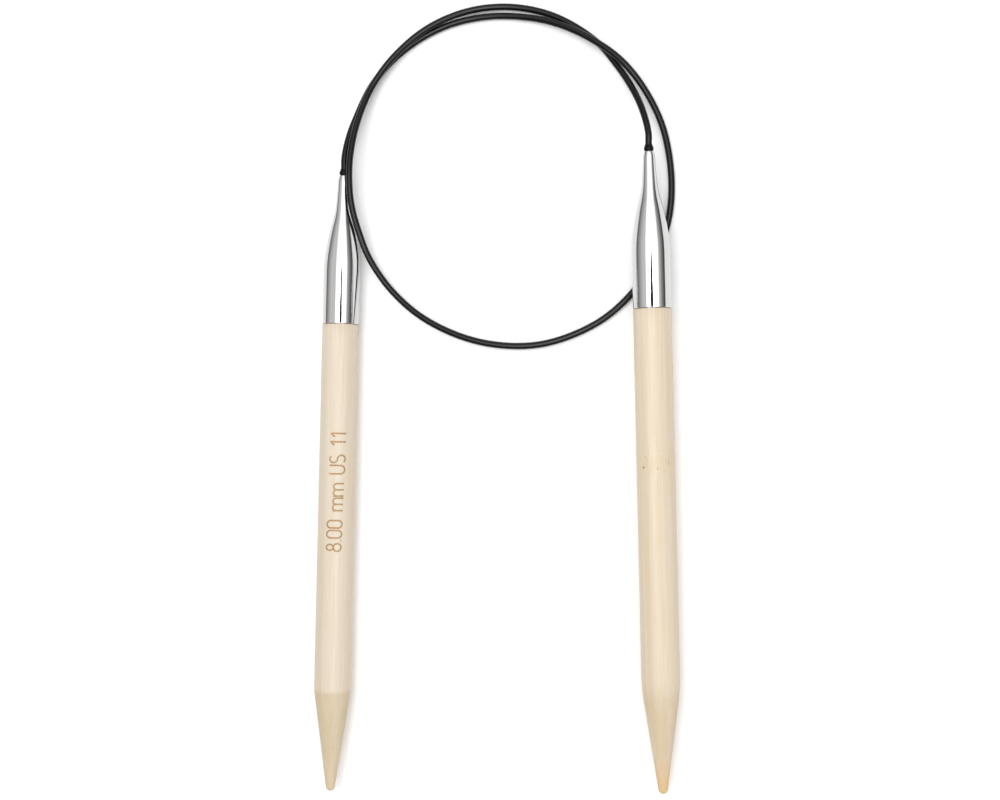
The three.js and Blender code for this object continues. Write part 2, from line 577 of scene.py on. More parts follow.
@dataclass(frozen=True)
class BambooFinish(Finish):
    """Pale turned bamboo, waxed on the shaft and bare on the sanded cone.

    Roughening is how much the fibres, the cone and smudges add. Relief is its depth in millimetres
    and how much of it shows, here as in every finish.
    """

    name: str
    pale: Triple
    warm: Triple
    fibre_dark: Triple
    cone_start: float
    cone_fade: float
    cone_tint: Triple
    point_warmth: float
    length: float
    shaft_radius: float
    node_depth: float | None = None
    blemishes: tuple[Blemish, ...] = ()
    streak_share: float = 0.3
    bundle_share: float = 0.28
    tint_share: float = 0.28
    grease_share: float = 0.12
    point_reach: Pair = (9.0, 1.0)
    point_amber: Triple = (0.62, 0.41, 0.19)
    speck_brown: Triple = (0.13, 0.075, 0.03)
    node_tan: Triple = (0.6, 0.49, 0.31)
    node_share: float = 0.34
    node_swirl: Pair = (4.5, 2.4)
    streak_span: Pair = (0.42, 0.66)
    handled: float = 0.6
    wax_roughness: float = 0.3
    roughening: Triple = (0.12, 0.16, 0.08)
    specular: float = 0.12
    rings_per_mm: float = 6.0
    ring_height: float = 0.5
    bundle_height: float = 1.5
    relief: Pair = (0.02, 0.55)

    def mark(self, shader: Shader, angle: Socket, depth: Socket, blemish: Blemish) -> Socket:
        """Mask one blemish.

        Args:
            shader: The material's shader layer.
            angle: The angle round the shaft from its top, in radians.
            depth: The depth in millimetres.
            blemish: The blemish.

        Returns:
            The mask, which is its strength in the middle and 0 outside.
        """
        arc = shader.times(shader.maths("SUBTRACT", angle, blemish.angle), self.shaft_radius)
        run = shader.maths("SUBTRACT", depth, blemish.depth)
        squares = [shader.maths("POWER", shader.maths("DIVIDE", offset, size), 2.0)
                   for offset, size in ((arc, blemish.width), (run, blemish.length))]
        return shader.span(shader.maths("ADD", *squares), 0.1, 1.0, blemish.strength, 0.0)

    def swirl(self, shader: Shader, place: Socket, depth: Socket) -> Socket:
        """Bend the fibres where they pass the culm's node.

        Args:
            shader: The material's shader layer.
            place: The place on the needle.
            depth: The depth in millimetres.

        Returns:
            The place, moved about near the node.
        """
        reach, push = self.node_swirl
        near = shader.span(shader.away(depth, self.node_depth), 0.0, reach, 1.0, 0.0)
        wander = shader.vector("SUBTRACT", shader.noise(place, 0.55, output=1), (0.5, 0.5, 0.5))
        return shader.vector("ADD", place, shader.scaled(wander, shader.times(near, push)))

    def colour_node(self, shader: Shader, colour: Socket, place: Socket, depth: Socket) -> Socket:
        """Warm the narrow band where the culm's node was planed off.

        Args:
            shader: The material's shader layer.
            colour: The colour so far.
            place: The place on the needle.
            depth: The depth in millimetres.

        Returns:
            The colour with the band.
        """
        level = shader.times_plus(shader.noise(place, 0.4, 1.0), 2.4, depth)
        away = shader.away(level, self.node_depth + 1.2)
        band = shader.span(away, 0.3, 2.4, self.node_share, 0.0)
        return shader.blend(band, colour, self.node_tan)

    def make(self, axis: NeedleAxis, effects: SharedEffects) -> Material:
        """Build the material on one needle.

        Args:
            axis: The needle's axis.
            effects: The shared node groups.

        Returns:
            The finished material.
        """
        material, shader, principled, place = self.start_on(self.name, axis)
        across, upward, depth = shader.split(place)
        angle = shader.maths("ARCTAN2", across, upward)
        if self.node_depth is not None:
            place = self.swirl(shader, place, depth)
        fibre, band, bundles = shader.group(effects.fibre, place, 1.0)
        smudge, _ = shader.group(effects.handling, place, self.handled)
        streak = shader.times(shader.span(fibre, *self.streak_span), self.streak_share)
        bundle = shader.times(bundles, self.bundle_share)
        cone = shader.span(depth, self.cone_start - self.cone_fade / 2,
                           self.cone_start + self.cone_fade)
        tint = shader.times(cone, self.tint_share)
        first, last = (self.length - reach for reach in self.point_reach)
        near_point = shader.span(depth, first, last, 0.0, self.point_warmth)
        colour = shader.blend(band, self.pale, self.warm)
        colour = shader.blend(streak, colour, self.fibre_dark)
        colour = shader.blend(bundle, colour, self.fibre_dark)
        colour = shader.blend(tint, colour, self.cone_tint, "MULTIPLY")
        colour = shader.blend(near_point, colour, self.point_amber)
        colour = shader.blend(shader.times(smudge, self.grease_share), colour, self.fibre_dark)
        if self.node_depth is not None:
            colour = self.colour_node(shader, colour, place, depth)
        for blemish in self.blemishes:
            spot = self.mark(shader, angle, depth, blemish)
            colour = shader.blend(spot, colour, self.speck_brown)
        by_fibre, by_cone, by_smudge = self.roughening
        rough = shader.times_plus(fibre, by_fibre, self.wax_roughness)
        rough = shader.times_plus(smudge, by_smudge, shader.times_plus(cone, by_cone, rough))
        shader.fill(principled, colour, Roughness=rough, Specular_IOR_Level=self.specular)
        rings = shader.fill(shader.add("ShaderNodeTexNoise", noise_dimensions="1D"),
                            W=shader.times(depth, self.rings_per_mm))
        turned = shader.times(rings.outputs[0], shader.times(cone, self.ring_height))
        ridges = shader.maths("SUBTRACT", fibre, shader.times(bundle, self.bundle_height))
        self.bump(shader, principled, shader.maths("ADD", ridges, turned), *self.relief)
        return material


@dataclass(frozen=True)
class NickelFinish(Finish):
    """Mirror-polished nickel plating with the faint marks of use."""

    name: str = "polished_nickel"
    colour: Triple = (0.57, 0.565, 0.56)
    dulled: Triple = (0.6, 0.57, 0.52)
    roughness: float = 0.04
    hairline_stretch: Triple = (9.0, 9.0, 0.35)
    scratch_span: Pair = (0.62, 0.8)
    roughening: Triple = (0.05, 0.06, 0.3)
    dulling: float = 0.12
    relief: Pair = (0.002, 0.25)

    def make(self, axis: NeedleAxis, effects: SharedEffects) -> Material:
        """Build the material on one needle.

        Args:
            axis: The needle's axis.
            effects: The shared node groups.

        Returns:
            The finished material.
        """
        material, shader, principled, place = self.start_on(self.name, axis)
        smudge, speck = shader.group(effects.handling, place, 1.0)
        hairlines = shader.grain(place, self.hairline_stretch, 4.0, 0.7)
        scratches = shader.span(hairlines, *self.scratch_span)
        worn: object = self.roughness
        for mask, share in zip((smudge, scratches, speck), self.roughening):
            worn = shader.times_plus(mask, share, worn)
        colour = shader.blend(shader.times(smudge, self.dulling), self.colour, self.dulled)
        shader.fill(principled, colour, Roughness=worn, Metallic=1.0)
        self.bump(shader, principled, hairlines, *self.relief)
        return material


@dataclass(frozen=True)
class SteelFinish(Finish):
    """Turned steel, as the crimped sleeve on the cord's end."""

    name: str = "crimp_steel"
    colour: Triple = (0.5, 0.5, 0.52)
    grimy: Triple = (0.36, 0.34, 0.31)
    turning_stretch: Triple = (0.4, 0.4, 14.0)
    handled: float = 0.8
    roughness: float = 0.2
    roughening: float = 0.25
    relief: Pair = (0.006, 0.5)

    def make(self, axis: NeedleAxis, effects: SharedEffects) -> Material:
        """Build the material on one needle.

        Args:
            axis: The needle's axis.
            effects: The shared node groups.

        Returns:
            The finished material.
        """
        material, shader, principled, place = self.start_on(self.name, axis)
        smudge, _ = shader.group(effects.handling, place, self.handled)
        turning = shader.grain(place, self.turning_stretch, 3.0)
        rough = shader.times_plus(turning, self.roughening, self.roughness)
        shader.fill(principled, shader.blend(smudge, self.colour, self.grimy),
                    Roughness=rough, Metallic=1.0)
        self.bump(shader, principled, turning, *self.relief)
        return material


@dataclass(frozen=True)
class NylonFinish(Finish):
    """Black nylon: satin on the drawn cord, duller on the moulded collars."""

    name: str
    colour: Triple
    roughness: float
    specular: float
    lint: Triple = (0.3, 0.29, 0.28)
    drawn_stretch: Triple = (4.0, 4.0, 0.06)
    moulded_scale: float = 9.0
    line_share: float = 0.5
    lint_share: float = 0.12
    roughening: Pair = (0.12, 0.1)
    relief: Pair = (0.012, 0.3)

    def dress(self, shader: Shader, principled: Node, place: Socket, lines: Socket,
              effects: SharedEffects) -> None:
        """Give the shader its colour, gloss and fine relief.

        Args:
            shader: The material's shader layer.
            principled: The node to feed.
            place: The place on the piece, in millimetres.
            lines: The value of the fine grain that making the piece leaves.
            effects: The shared node groups.
        """
        smudge, speck = shader.group(effects.handling, place, 1.0)
        paler = tuple(2.0 * part for part in self.colour)
        colour = shader.blend(shader.times(lines, self.line_share), self.colour, paler)
        colour = shader.blend(shader.times(speck, self.lint_share), colour, self.lint)
        by_smudge, by_line = self.roughening
        rough = shader.times_plus(smudge, by_smudge, self.roughness)
        rough = shader.times_plus(lines, by_line, rough)
        shader.fill(principled, colour, Roughness=rough, Specular_IOR_Level=self.specular)
        self.bump(shader, principled, lines, *self.relief)

    def make_cord(self, effects: SharedEffects) -> Material:
        """Build the cord's material, on the cord's own map of (way round, millimetres along).

        Args:
            effects: The shared node groups.

        Returns:
            The finished material.
        """
        material, shader, principled = self.start(self.name)
        mapped = shader.add("ShaderNodeUVMap", uv_map="along_cord").outputs[0]
        around, along, _ = shader.split(mapped)
        turn = shader.times(around, math.tau)
        place = shader.join(shader.maths("COSINE", turn), shader.maths("SINE", turn), along)
        lines = shader.grain(place, self.drawn_stretch, 3.0)
        self.dress(shader, principled, place, lines, effects)
        return material

    def make_moulded(self, axis: NeedleAxis, effects: SharedEffects) -> Material:
        """Build the material of a moulded piece.

        Args:
            axis: The axis of its needle.
            effects: The shared node groups.

        Returns:
            The finished material.
        """
        material, shader, principled, place = self.start_on(self.name, axis)
        grain = shader.noise(place, self.moulded_scale, 3.0)
        self.dress(shader, principled, place, grain, effects)
        return material


@dataclass(frozen=True)
class MarkingFinish(Finish):
    """The brown of a mark burnt into bamboo."""

    name: str = "burnt_marking"
    brown: Triple = (0.27, 0.15, 0.045)
    faint: Triple = (0.4, 0.25, 0.1)
    roughness: float = 0.6
    pulse_scale: float = 2.6
    pulse_span: Pair = (0.4, 0.7)
    fibre_share: float = 0.6
    faint_share: float = 0.7
    relief: Pair = (0.01, 0.4)

    def make(self, axis: NeedleAxis, effects: SharedEffects) -> Material:
        """Build the material on one needle.

        Args:
            axis: The needle's axis.
            effects: The shared node groups.

        Returns:
            The finished material.
        """
        material, shader, principled, place = self.start_on(self.name, axis)
        fibre, _, _ = shader.group(effects.fibre, place, 1.0)
        pulse = shader.noise(place, self.pulse_scale)
        pulses = shader.span(pulse, *self.pulse_span)
        share = shader.times_plus(fibre, self.fibre_share, pulses)
        share = shader.maths("MULTIPLY", share, self.faint_share, clamp=True)
        shader.fill(principled, shader.blend(share, self.brown, self.faint),
                    Roughness=self.roughness)
        self.bump(shader, principled, pulse, *self.relief)
        return material


# ------------------------------------------------------------------------------------------------
# The needle's pieces
# ------------------------------------------------------------------------------------------------


@dataclass
class NeedlePart:
    """What every piece of a needle has: its side, its axis, and its way into place."""

    side: Side
    axis: NeedleAxis

    def put_on(self, name: str, bm: BMesh, material: Material, slot: str, body: str,
               node: str = "") -> Piece:
        """Put a mesh that was made on the local axis in its place.

        Args:
            name: The piece's name, without its side.
            bm: The mesh, in millimetres on the local axis.
            material: Its finish.
            slot: The record's material slot. Not used.
            body: The CAD body that it rides on, without its side.
            node: The CAD node that it stands for, without its side, if it stands for one.

        Returns:
            The finished piece.
        """
        bm.transform(self.axis.placement())
        piece = link_mesh(f"{self.side.value}_{name}", bm, material)
        if node:
            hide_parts(f"{self.side.value}_{node}")
        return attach(piece, f"{self.side.value}_{body}")


@dataclass
class Ferrule(NeedlePart):
    """The polished metal shell that holds the bamboo and lets the cord's end turn in its nose."""

    length: float
    radius: float
    wall: float = 0.4
    bore: float = 0.98
    bore_start: float = 0.35
    lip: tuple[Pair, ...] = (
        (0.995, 0.0), (1.03, 0.03), (1.08, 0.14), (1.14, 0.34), (1.2, 0.62), (1.245, 0.88),
    )
    neck: tuple[Pair, ...] = (
        (1.28, 1.1), (1.36, 2.8), (1.52, 5.3), (1.74, 7.6), (2.1, 9.4), (2.62, 11.4),
        (3.14, 13.8), (3.62, 16.6), (3.89, 18.8),
    )
    cylinder_start: float = 21.2
    steps_per_knot: int = 5
    nose_shoulder: float = 7.0
    shoulder_step: float = 0.6
    hollow_start: float = 8.0
    head_room: float = 1.38
    segments: int = 128

    def ogee(self) -> Outline:
        """Draw the outside from the slim neck through the ogee to the cylinder.

        Returns:
            Points of (radius, depth).
        """
        knots = [*self.neck, (self.radius, self.cylinder_start)]
        line = catmull_rom([Vector((*knot, 0.0)) for knot in knots], self.steps_per_knot)
        return [(min(p.x, self.radius), p.y) for p in line]

    def outline(self) -> Outline:
        """Draw the whole wall, outside first.

        Returns:
            A closed outline.
        """
        ogee = self.ogee()
        outside = [*self.lip, *ogee]
        rim = [(self.radius, self.length), (self.radius - self.wall, self.length)]
        hollow = [(r - self.wall, d) for r, d in reversed(ogee) if d > self.hollow_start]
        nose = [(self.head_room, self.nose_shoulder + self.shoulder_step),
                (self.head_room, self.nose_shoulder),
                (self.bore, self.nose_shoulder), (self.bore, self.bore_start)]
        points = outside + rim + hollow + nose
        edge = len(outside)
        last = len(points) - 1
        return soften(points, {0: 0.015, edge: 0.07, edge + 1: 0.12, last - 1: 0.06})

    def build(self, finish: NickelFinish, effects: SharedEffects) -> Piece:
        """Make the shell, dress it and put it on its body.

        Args:
            finish: The plating.
            effects: The shared node groups.

        Returns:
            The finished piece.
        """
        bm = lathe(self.outline(), self.segments, closed=True)
        return self.put_on("ferrule_shell", bm, finish.make(self.axis, effects),
                           "polished_nickel", "needle", "ferrule")


@dataclass
class BambooTip(NeedlePart):
    """The turned bamboo shaft, its cone and rounded point, and the spigot in the ferrule."""

    ferrule_length: float
    length: float
    radius: float
    cone_length: float
    shoulder: Shoulder
    point_radius: float = 1.0
    spigot_radius: float = 3.45
    spigot_start: float = 20.5
    spigot_chamfer: float = 0.3
    rim_chamfer: float = 0.08
    glue_line: float = 0.1
    crisp_size: float = 0.9
    ease: float = 6.0
    ease_steps: int = 12
    taper_steps: int = 10
    point_steps: int = 10
    shaft_rings: int = 24
    unevenness: tuple[Triple, ...] = ((0.006, 0.31, 0.0), (0.004, 0.83, 1.0))
    segments: int = 128

    def cone(self) -> Outline:
        """Draw the shaft's last stretch, from the shoulder to where the point rounds off.

        Returns:
            Points of (radius, depth).
        """
        start = self.length - self.cone_length
        end = self.length - self.point_radius
        if self.shoulder is Shoulder.CRISP:
            rounded = fillet((self.radius, start), (self.radius, 0.0), (self.point_radius, end),
                             self.crisp_size, 6)
            return rounded + self.taper(start + 2.0, end, start)
        slope = (self.radius - self.point_radius) / (end - start)
        eased = []
        for i in range(self.ease_steps + 1):
            t = i / self.ease_steps
            drop = slope * self.ease * t * t / 2
            eased.append((self.radius - drop, start + self.ease * (t - 0.5)))
        return eased + self.taper(start + self.ease, end, start)

    def taper(self, first: float, end: float, start: float) -> Outline:
        """Draw the straight taper.

        Args:
            first: The depth of its first point.
            end: The depth of its last point, where it has the point's radius.
            start: The depth where it would have the shaft's radius.

        Returns:
            Points of (radius, depth).
        """
        points = []
        for i in range(self.taper_steps + 1):
            depth = first + (end - first) * i / self.taper_steps
            share = (depth - start) / (end - start)
            points.append((self.radius + (self.point_radius - self.radius) * share, depth))
        return points

    def point(self) -> Outline:
        """Draw the rounded end, as an arc that meets the axis.

        Returns:
            Points of (radius, depth).
        """
        middle = self.length - self.point_radius
        angles = [math.pi / 2 * i / self.point_steps for i in range(1, self.point_steps)]
        return [*((self.point_radius * math.cos(angle),
                   middle + self.point_radius * math.sin(angle)) for angle in angles),
                (0.0, self.length)]

    def shaft(self, mouth: float, end: float) -> Outline:
        """Draw the shaft, which is very slightly uneven, as turned bamboo is.

        Args:
            mouth: The depth where it leaves the ferrule.
            end: The depth where the cone takes over.

        Returns:
            Points of (radius, depth) between the two.
        """
        most = self.unevenness[0][0]
        rings = []
        for i in range(1, self.shaft_rings):
            depth = mouth + (end - mouth) * i / self.shaft_rings
            uneven = sum(size * math.sin(depth * pace + start)
                         for size, pace, start in self.unevenness)
            rings.append((self.radius - most + uneven, depth))
        return rings

    def outline(self) -> Outline:
        """Draw the whole outside, from the spigot's end on the axis to the point.

        Returns:
            An open outline whose two ends are on the axis.
        """
        mouth = self.ferrule_length + self.glue_line
        cone = self.cone()
        spigot = [(0.0, self.spigot_start),
                  (self.spigot_radius - self.spigot_chamfer, self.spigot_start),
                  (self.spigot_radius, self.spigot_start + self.spigot_chamfer),
                  (self.spigot_radius, mouth)]
        rim = [(self.radius - self.rim_chamfer, mouth), (self.radius, mouth + self.rim_chamfer)]
        return [*spigot, *rim, *self.shaft(mouth, cone[0][1]), *cone, *self.point()]

    def build(self, finish: BambooFinish, effects: SharedEffects) -> Piece:
        """Make the bamboo, dress it and put it on its body.

        Args:
            finish: The bamboo's finish.
            effects: The shared node groups.

        Returns:
            The finished piece.
        """
        bm = lathe(self.outline(), self.segments, closed=False)
        return self.put_on("bamboo_tip_turned", bm, finish.make(self.axis, effects),
                           "bamboo", "needle", "bamboo_tip")


@dataclass
class CordEnd(NeedlePart):
    """The two pieces on one end of the cord: the crimped sleeve and the flared collar."""

    bore: float = 0.74
    stem_start: float = 0.2
    stem_radius: float = 0.91
    groove_starts: Pair = (2.0, 4.6)
    groove_depth: float = 0.07
    groove_steps: Triple = (0.25, 0.95, 1.2)
    head_radius: float = 1.3
    head_start: float = 7.2
    sleeve_end: float = 8.6
    collar_gap: float = 0.12
    collar_length: float = 1.35
    collar_wide: float = 1.03
    collar_narrow: float = 0.84
    segments: int = 48

    def sleeve_outline(self) -> Outline:
        """Draw the sleeve: a stem with two crimped grooves, and the head behind the shoulder.

        Returns:
            A closed outline.
        """
        floor = self.stem_radius - self.groove_depth
        down, up, out = self.groove_steps
        grooves = []
        for start in self.groove_starts:
            grooves += [(self.stem_radius, start), (floor, start + down), (floor, start + up),
                        (self.stem_radius, start + out)]
        points = [(self.bore, self.stem_start), (self.stem_radius, self.stem_start), *grooves,
                  (self.stem_radius, self.head_start), (self.head_radius, self.head_start),
                  (self.head_radius, self.sleeve_end), (self.bore, self.sleeve_end)]
        count = len(points)
        return soften(points, {1: 0.06, count - 3: 0.08, count - 2: 0.12, count - 1: 0.02})

    def collar_outline(self) -> Outline:
        """Draw the collar: a bead at the ferrule's mouth that slims to the cord.

        Returns:
            A closed outline.
        """
        wide, narrow, near = self.collar_wide, self.collar_narrow, -self.collar_gap
        far = near - self.collar_length
        points = [(self.bore, near), (wide - 0.16, near), (wide, near - 0.36),
                  (wide - 0.02, near - 0.78), (narrow, near - 1.08), (narrow, far),
                  (self.bore, far)]
        return soften(points, {1: 0.1, 2: 0.18, 3: 0.16, 4: 0.06, 5: 0.03})

    def build(self, steel: SteelFinish, nylon: NylonFinish,
              effects: SharedEffects) -> list[Piece]:
        """Make both pieces, dress them and put them on the cord end's body.

        Args:
            steel: The sleeve's finish.
            nylon: The collar's finish.
            effects: The shared node groups.

        Returns:
            The two finished pieces.
        """
        made = (
            ("cord_end_sleeve", "crimp_steel", self.sleeve_outline(),
             steel.make(self.axis, effects)),
            ("cord_collar", "collar_plastic", self.collar_outline(),
             nylon.make_moulded(self.axis, effects)),
        )
        return [self.put_on(f"{node}_turned", lathe(outline, self.segments, closed=True),
                            material, slot, "cord_end", node)
                for node, slot, outline, material in made]


@dataclass
class FreeCord:
    """The one black cord that runs from ferrule to ferrule."""

    left: NeedleAxis
    right: NeedleAxis
    radius: float = 0.71
    sides: int = 20
    per_span: int = 8
    straight_depths: tuple[float, ...] = (8.0, 5.5, 3.0, 0.5, -2.0, -4.0)
    route: tuple[Triple, ...] = (
        (-32.75, 74.0, 3.5), (-31.4, 78.8, 2.5), (-27.6, 87.4, 1.0), (-20.8, 94.2, 0.75),
        (-11.8, 98.9, 0.75), (-1.8, 100.6, 0.75), (8.3, 99.5, 1.1), (15.6, 96.9, 1.9),
        (22.2, 93.1, 2.4), (27.9, 88.5, 2.4), (32.65, 82.3, 1.6), (36.45, 74.0, 0.9),
        (38.15, 63.3, 0.75), (37.45, 54.2, 0.75), (34.3, 45.7, 0.75), (29.0, 38.2, 0.75),
        (21.65, 32.4, 0.75), (9.75, 28.3, 0.75), (-3.2, 29.0, 0.75), (-15.2, 33.9, 0.8),
        (-23.1, 40.5, 1.2), (-28.0, 47.7, 2.45), (-29.9, 53.3, 4.1), (-31.2, 59.1, 5.5),
        (-31.65, 65.2, 5.9), (-31.4, 71.5, 5.4), (-30.05, 79.1, 4.0), (-27.0, 86.8, 2.7),
        (-21.8, 93.3, 2.3), (-14.7, 98.6, 2.1), (-6.0, 101.9, 1.4), (3.3, 102.4, 0.8),
        (12.9, 99.8, 0.75), (22.1, 93.7, 0.8), (26.9, 87.8, 0.9), (30.15, 82.4, 2.2),
        (32.45, 77.0, 4.5),
    )
    flex_start: float = -26.0
    flex_end: float = 26.0

    def centreline(self) -> list[Vector]:
        """Draw the cord's line, straight inside each sleeve and free between the ferrules.

        Returns:
            The line's points, in metres.
        """
        leaving = [self.left.point(depth) for depth in self.straight_depths]
        returning = [self.right.point(depth) for depth in reversed(self.straight_depths)]
        free = [Vector(point) * MM for point in self.route]
        return catmull_rom([*leaving, *free, *returning], self.per_span)

    def tube(self, line: Sequence[Vector]) -> BMesh:
        """Sweep a round section along the line, turning it no more than the line turns.

        Args:
            line: The centreline.

        Returns:
            The closed tube, with a map of (way round, millimetres along).
        """
        bm = bmesh.new()
        uv = bm.loops.layers.uv.new("along_cord")
        heading = (line[1] - line[0]).normalized()
        facing = heading.to_track_quat("Z", "Y").to_matrix().to_4x4()
        ring = bmesh.ops.create_circle(
            bm, cap_ends=True, segments=self.sides, radius=self.radius * MM,
            matrix=Matrix.Translation(line[0]) @ facing,
        )["verts"]
        edges = [edge for edge in bm.edges if edge.verts[0] in ring and edge.verts[1] in ring]
        travelled = 0.0
        for here, there, beyond in zip(line, line[1:], [*line[2:], line[-1] * 2 - line[-2]]):
            onward = (beyond - here).normalized()
            turn = heading.rotation_difference(onward).to_matrix()
            step = (there - here).length / MM
            made = bmesh.ops.extrude_edge_only(bm, edges=edges)["geom"]
            verts = [item for item in made if isinstance(item, BMVert)]
            edges = [item for item in made if isinstance(item, bmesh.types.BMEdge)
                     and item.verts[0] in verts and item.verts[1] in verts]
            bmesh.ops.rotate(bm, cent=here, matrix=turn, verts=verts)
            bmesh.ops.translate(bm, vec=there - here, verts=verts)
            faces = [item for item in made if isinstance(item, bmesh.types.BMFace)]
            self.lay_map(faces, uv, set(verts), travelled, step)
            heading = onward
            travelled += step
        bmesh.ops.contextual_create(bm, geom=edges)
        bmesh.ops.recalc_face_normals(bm, faces=bm.faces)
        return bm

    def lay_map(self, faces: Sequence[bmesh.types.BMFace], uv: bmesh.types.BMLayerItem,
                front: set[BMVert], travelled: float, step: float) -> None:
        """Map the band of faces that one step of the sweep made.

        Args:
            faces: The band's faces, in order round the cord.
            uv: The map's layer.
            front: The band's new vertices.
            travelled: The length up to the band, in millimetres.
            step: The band's own length.
        """
        for index, face in enumerate(faces):
            rear = next((loop.vert for loop in face.loops if loop.vert not in front), None)
            first = (rear, self.partner(rear, face, front)) if rear else ()
            for loop in face.loops:
                along = travelled + (step if loop.vert in front else 0.0)
                loop[uv].uv = ((index + (0 if loop.vert in first else 1)) / self.sides, along)

    @staticmethod
    def partner(vert: BMVert, face: bmesh.types.BMFace, front: set[BMVert]) -> BMVert:
        """The new vertex that a rear vertex of a face is joined to."""
        return next(edge.other_vert(vert) for edge in vert.link_edges
                    if edge in face.edges and edge.other_vert(vert) in front)

    def build(self, finish: NylonFinish, ends: Sequence[Piece], effects: SharedEffects) -> Piece:
        """Make the cord and dress it.

        Args:
            finish: The cord's finish.
            ends: The collars and sleeves on it. Not used.
            effects: The shared node groups.

        Returns:
            The finished cord.
        """
        line = self.centreline()
        piece = link_mesh("cord_line", self.tube(line), finish.make_cord(effects))
        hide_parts("cord")
        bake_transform(piece)
        return piece


# ------------------------------------------------------------------------------------------------
# The size marking
# ------------------------------------------------------------------------------------------------


def arc(centre: Pair, radii: Pair, start: float, end: float, steps: int = 14) -> Outline:
    """Draw an elliptical stroke.

    Args:
        centre: The ellipse's middle.
        radii: Its half width and half height.
        start: The angle where the stroke starts, in degrees anticlockwise from the right.
        end: The angle where it ends.
        steps: How many segments it has.

    Returns:
        The stroke's points.
    """
    angles = [math.radians(start + (end - start) * i / steps) for i in range(steps + 1)]
    return [(centre[0] + radii[0] * math.cos(angle), centre[1] + radii[1] * math.sin(angle))
            for angle in angles]


ARCH = [(0.0, 0.0), (0.0, 0.66), (0.0, 0.5), *arc((0.2, 0.46), (0.2, 0.2), 180, 0), (0.4, 0.0)]

# Each letter's strokes on a height of 1, and its width.
GLYPHS: dict[str, tuple[list[Outline], float]] = {
    "8": ([arc((0.26, 0.74), (0.19, 0.24), -90, 270),
           arc((0.26, 0.26), (0.25, 0.25), 90, 450)], 0.52),
    "0": ([[*arc((0.25, 0.72), (0.24, 0.27), 0, 180),
            *arc((0.25, 0.28), (0.24, 0.27), 180, 360), (0.49, 0.72)]], 0.5),
    ".": ([[(0.03, 0.0), (0.03, 0.05)]], 0.06),
    "m": ([ARCH, [(x + 0.4, y) for x, y in ARCH[3:]]], 0.8),
    "U": ([[(0.0, 1.0), *arc((0.27, 0.28), (0.27, 0.28), 180, 360), (0.54, 1.0)]], 0.54),
    "S": ([[*arc((0.27, 0.75), (0.23, 0.25), 40, 270),
            *arc((0.27, 0.25), (0.26, 0.25), 90, -140)]], 0.54),
    "1": ([[(0.0, 0.74), (0.22, 1.0), (0.22, 0.0)]], 0.4),
}


@dataclass
class SizeMarking(NeedlePart):
    """The needle's size, burnt into the shaft in single thin strokes."""

    shaft_radius: float
    words: tuple[str, ...] = ("8.00", "mm", "US", "11")
    start_depth: float = 82.35
    drift: float = 0.024
    around_from_top: float = 11.0
    height: float = 3.35
    stroke: float = 0.36
    proud: float = 0.012
    tracking: float = 0.14
    word_space: float = 0.49
    longest_run: float = 0.2

    def strokes(self) -> list[Outline]:
        """Lay out the marking.

        Returns:
            Every stroke, in millimetres along and across the line of text.
        """
        laid = []
        pen = 0.0
        for word in self.words:
            for letter in word:
                shapes, width = GLYPHS[letter]
                laid += [self.divide([((x + pen) * self.height, (y - 0.5) * self.height)
                                      for x, y in shape]) for shape in shapes]
                pen += width + self.tracking
            pen += self.word_space
        return laid

    def divide(self, stroke: Outline) -> Outline:
        """Split a stroke's long runs, so that it can bend round the shaft.

        Args:
            stroke: The stroke.

        Returns:
            The stroke with no run over the longest.
        """
        fine = [stroke[0]]
        for (x0, y0), (x1, y1) in zip(stroke, stroke[1:]):
            count = max(1, math.ceil(math.hypot(x1 - x0, y1 - y0) / self.longest_run))
            fine += [(x0 + (x1 - x0) * i / count, y0 + (y1 - y0) * i / count)
                     for i in range(1, count + 1)]
        return fine

    def flat_beads(self) -> BMesh:
        """Run a round bead along every stroke, flat on the page.

        Returns:
            The beads as one mesh, in millimetres. Each is closed, with its ends welded on.
        """
        curve = bpy.data.curves.new("marking_strokes", "CURVE")
        curve.dimensions = "3D"
        curve.bevel_depth = self.stroke / 2
        curve.bevel_resolution = 2
        curve.use_fill_caps = True
        for stroke in self.strokes():
            spline = curve.splines.new("POLY")
            spline.points.add(len(stroke) - 1)
            for place, (x, y) in zip(spline.points, stroke):
                place.co = (x, y, 0.0, 1.0)
        page = bpy.data.objects.new("marking_page", curve)
        bpy.context.scene.collection.objects.link(page)
        evaluated = page.evaluated_get(bpy.context.evaluated_depsgraph_get())
        mesh = bpy.data.meshes.new_from_object(evaluated)
        bm = bmesh.new()
        bm.from_mesh(mesh)
        bmesh.ops.remove_doubles(bm, verts=bm.verts, dist=MERGE_MM)
        bmesh.ops.recalc_face_normals(bm, faces=bm.faces)
        bpy.data.objects.remove(page)
        bpy.data.curves.remove(curve)
        bpy.data.meshes.remove(mesh)
        return bm

    def build(self, finish: MarkingFinish, effects: SharedEffects) -> Piece:
        """Wrap the strokes round the shaft and put them on the needle's body.

        Args:
            finish: The burnt finish.
            effects: The shared node groups.

        Returns:
            The finished marking.
        """
        bm = self.flat_beads()
        top = math.radians(self.around_from_top)
        flatten = self.proud / (self.stroke / 2)
        for vert in bm.verts:
            angle = top + (self.drift * vert.co.x - vert.co.y) / self.shaft_radius
            reach = self.shaft_radius + vert.co.z * flatten
            depth = self.start_depth - vert.co.x
            vert.co = (reach * math.sin(angle), reach * math.cos(angle), depth)
        piece = self.put_on("size_marking", bm, finish.make(self.axis, effects),
                            "bamboo", "needle")
        for face in piece.data.polygons:
            face.use_smooth = len(face.vertices) <= 4  # only a stroke's flat end has more
        return piece


# ------------------------------------------------------------------------------------------------
# The studio
# ------------------------------------------------------------------------------------------------


